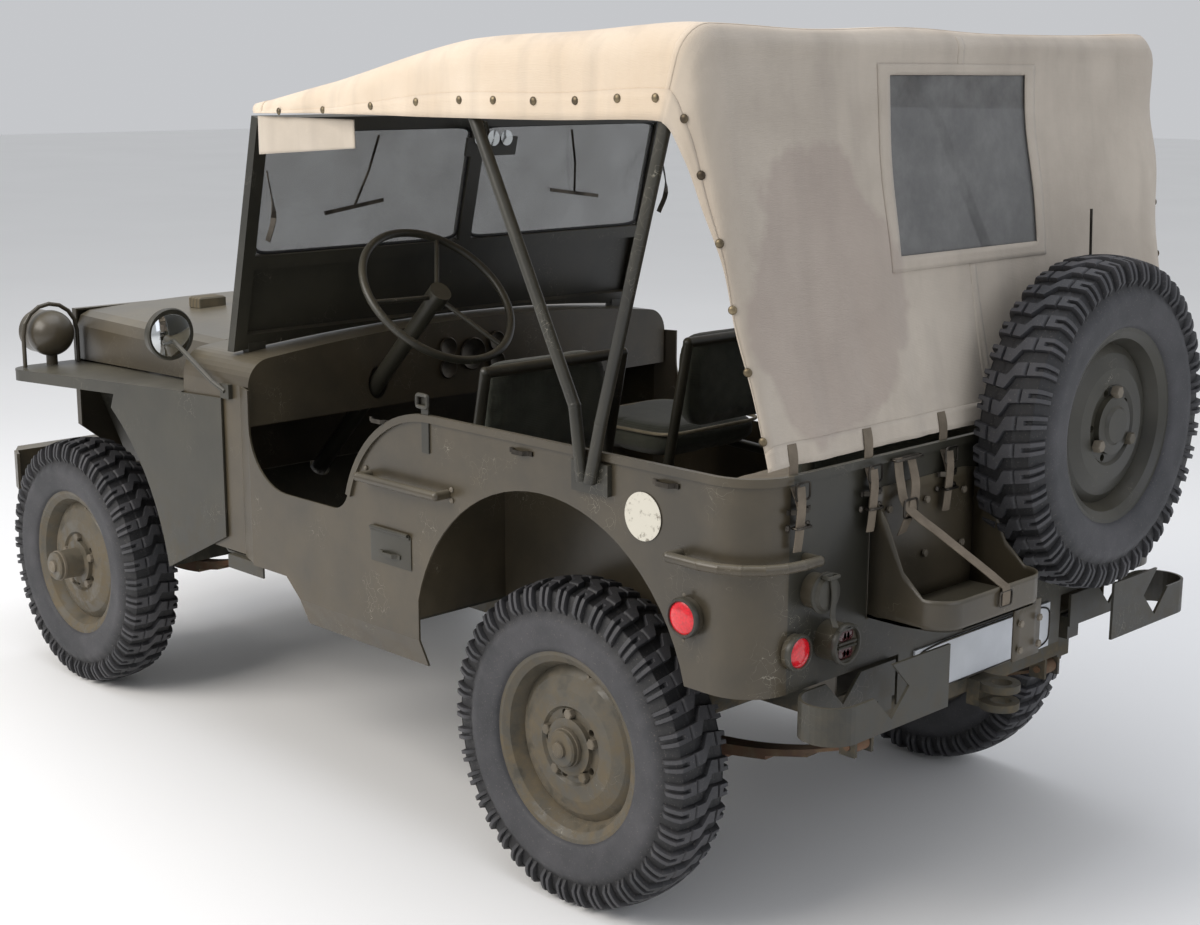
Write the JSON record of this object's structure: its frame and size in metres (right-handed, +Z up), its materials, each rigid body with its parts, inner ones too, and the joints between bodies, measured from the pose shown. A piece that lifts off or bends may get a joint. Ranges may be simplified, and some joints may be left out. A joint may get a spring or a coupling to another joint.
{
  "type": "army 4x4 car with canvas top",
  "caption": "Open four-seat army 4x4 car with a canvas top, upright windscreen, spare wheel and can carrier at the tail; wheels roll and steer, hood opens.",
  "frame": {"origin": "on the ground, under the middle of the car's overall box", "axes": "+X forward, +Y to the car's left, +Z up"},
  "size_m": [3.322, 1.6039, 1.815],
  "materials": {
    "body_paint": "matte",
    "chassis_paint": "matte",
    "cast_iron": "rough",
    "rusty_steel": "rough",
    "rubber_tyre": "matte",
    "canvas": "matte",
    "seat_canvas": "matte",
    "window_glass": "polished",
    "lamp_red": "gloss",
    "plate_blank": "satin",
    "lamp_metal": "satin"
  },
  "bodies": {
    "root": {"frame": "chassis_paint", "front_bumper": "body_paint", "rear_bumperettes": "body_paint", "engine": "cast_iron", "radiator": "chassis_paint", "exhaust": "rusty_steel", "propeller_shafts": "chassis_paint", "leaf_springs": "chassis_paint", "front_axle": "chassis_paint", "rear_axle": "chassis_paint", "steering_column": "body_paint", "floor": "body_paint", "side_panels": "body_paint", "rear_panel": "body_paint", "wheel_houses": "body_paint", "cowl": "body_paint", "grille": "body_paint", "front_lamps": "lamp_metal", "front_fenders": "body_paint", "windshield_frame": "body_paint", "windshield_glass": "window_glass", "seat_frames": "body_paint", "seat_pads": "seat_canvas", "canvas_top": "canvas", "top_bows": "body_paint", "spare_tyre": "rubber_tyre", "spare_wheel": "body_paint", "can_carrier": "body_paint", "rear_lamps": "lamp_red", "grab_handles": "body_paint", "mirrors": "body_paint", "number_plate": "plate_blank", "antenna": "body_paint"},
    "hood": {"hood": "body_paint"},
    "steering_wheel": {"steering_wheel": "body_paint"},
    "knuckle_left": {"knuckle_left": "chassis_paint"},
    "knuckle_right": {"knuckle_right": "chassis_paint"},
    "tie_rod": {"tie_rod": "chassis_paint"},
    "wheel_front_left": {"tyre_front_left": "rubber_tyre", "wheel_front_left": "body_paint"},
    "wheel_front_right": {"tyre_front_right": "rubber_tyre", "wheel_front_right": "body_paint"},
    "wheel_rear_left": {"tyre_rear_left": "rubber_tyre", "wheel_rear_left": "body_paint"},
    "wheel_rear_right": {"tyre_rear_right": "rubber_tyre", "wheel_rear_right": "body_paint"}
  },
  "joints": [
    {"name": "hood_hinge", "type": "hinge", "parent": "root", "child": "hood", "pos_m": [0.429, 0, 1.098], "axis": [0, -1, 0], "range_deg": [0, 105]},
    {"name": "steering", "type": "hinge", "parent": "root", "child": "steering_wheel", "pos_m": [-0.102, 0.335, 1.198], "axis": [-0.7071, 0, 0.7071], "range_deg": [-360, 360]},
    {"name": "steer_left", "type": "hinge", "parent": "root", "child": "knuckle_left", "pos_m": [1.116, 0.53, 0.352], "axis": [0, 0, 1], "range_deg": [-26, 26]},
    {"name": "steer_right", "type": "hinge", "parent": "root", "child": "knuckle_right", "pos_m": [1.116, -0.53, 0.352], "axis": [0, 0, 1], "range_deg": [-26, 26]},
    {"name": "tie_rod_pivot", "type": "hinge", "parent": "knuckle_left", "child": "tie_rod", "pos_m": [1.281, 0.53, 0.372], "axis": [0, 0, 1], "range_deg": [-26, 26]},
    {"name": "roll_front_left", "type": "hinge", "parent": "knuckle_left", "child": "wheel_front_left", "pos_m": [1.116, 0.623, 0.352], "axis": [0, 1, 0], "continuous": true},
    {"name": "roll_front_right", "type": "hinge", "parent": "knuckle_right", "child": "wheel_front_right", "pos_m": [1.116, -0.623, 0.352], "axis": [0, 1, 0], "continuous": true},
    {"name": "roll_rear_left", "type": "hinge", "parent": "root", "child": "wheel_rear_left", "pos_m": [-0.916, 0.623, 0.352], "axis": [0, 1, 0], "continuous": true},
    {"name": "roll_rear_right", "type": "hinge", "parent": "root", "child": "wheel_rear_right", "pos_m": [-0.916, -0.623, 0.352], "axis": [0, 1, 0], "continuous": true}
  ],
  "couplings": [
    {"joint": "steer_left", "follows": "steering", "ratio": 0.072222},
    {"joint": "steer_right", "follows": "steering", "ratio": 0.072222},
    {"joint": "tie_rod_pivot", "follows": "steering", "ratio": -0.072222}
  ]
}
